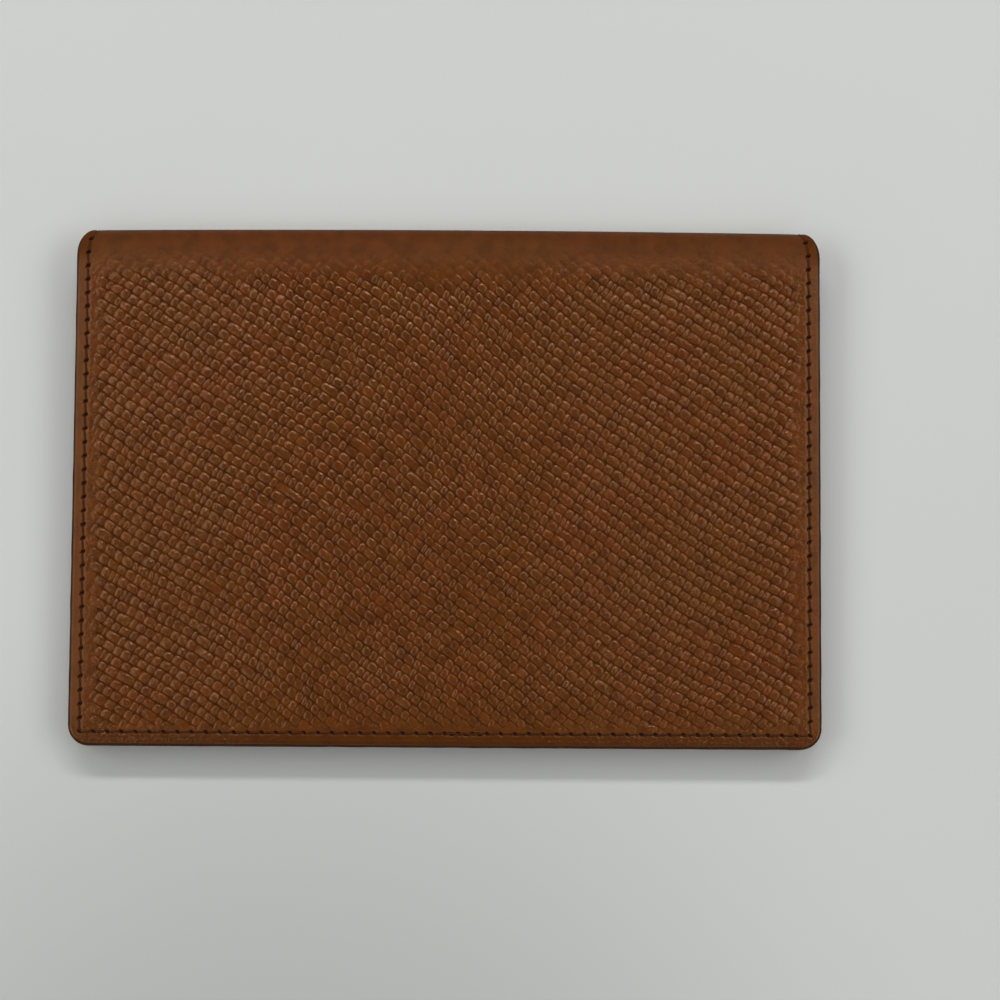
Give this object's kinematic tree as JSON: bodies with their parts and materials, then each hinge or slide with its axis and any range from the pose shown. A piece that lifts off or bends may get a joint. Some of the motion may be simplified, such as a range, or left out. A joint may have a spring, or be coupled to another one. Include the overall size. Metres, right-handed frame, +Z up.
{
  "type": "passport holder",
  "caption": "Folding leather passport holder with stiffened covers, a sleeve inside each cover for the passport's own cover, and a stitched edge.",
  "frame": {"origin": "on the underside of the back cover, under the middle of the closed holder's box", "axes": "+X along the spine, +Y from the open edge towards the spine, +Z up out of the front cover"},
  "size_m": [0.14, 0.0974, 0.0083],
  "materials": {
    "outer_leather": "pebble-embossed, satin",
    "lining_leather": "smooth, matt",
    "sleeve_leather": "smooth, satin",
    "board": "bonded fibre board, matt",
    "thread": "waxed thread",
    "edge_paint": "smooth, satin"
  },
  "bodies": {
    "back_cover": {"back_outer": "outer_leather", "back_board": "board", "back_lining": "lining_leather", "back_sleeve": "sleeve_leather", "back_sleeve_margin": "sleeve_leather", "back_seam_outer": "thread", "back_seam_inner": "thread", "back_edge_coat": "edge_paint"},
    "spine": {"spine_outer": "outer_leather", "spine_lining": "lining_leather", "spine_seam_outer_left": "thread", "spine_seam_outer_right": "thread", "spine_seam_inner_left": "thread", "spine_seam_inner_right": "thread", "spine_edge_coat_left": "edge_paint", "spine_edge_coat_right": "edge_paint"},
    "front_cover": {"front_outer": "outer_leather", "front_board": "board", "front_lining": "lining_leather", "front_sleeve": "sleeve_leather", "front_sleeve_margin": "sleeve_leather", "front_seam_outer": "thread", "front_seam_inner": "thread", "front_edge_coat": "edge_paint"}
  },
  "joints": [
    {"name": "back_fold", "type": "hinge", "parent": "back_cover", "child": "spine", "pos_m": [0, 0.04737, 0.00133], "axis": [-1, 0, 0], "range_deg": [0, 90]},
    {"name": "front_fold", "type": "hinge", "parent": "spine", "child": "front_cover", "pos_m": [0, 0.04737, 0.00707], "axis": [-1, 0, 0], "range_deg": [0, 90]}
  ],
  "couplings": [
    {"joint": "front_fold", "follows": "back_fold", "ratio": 1}
  ]
}
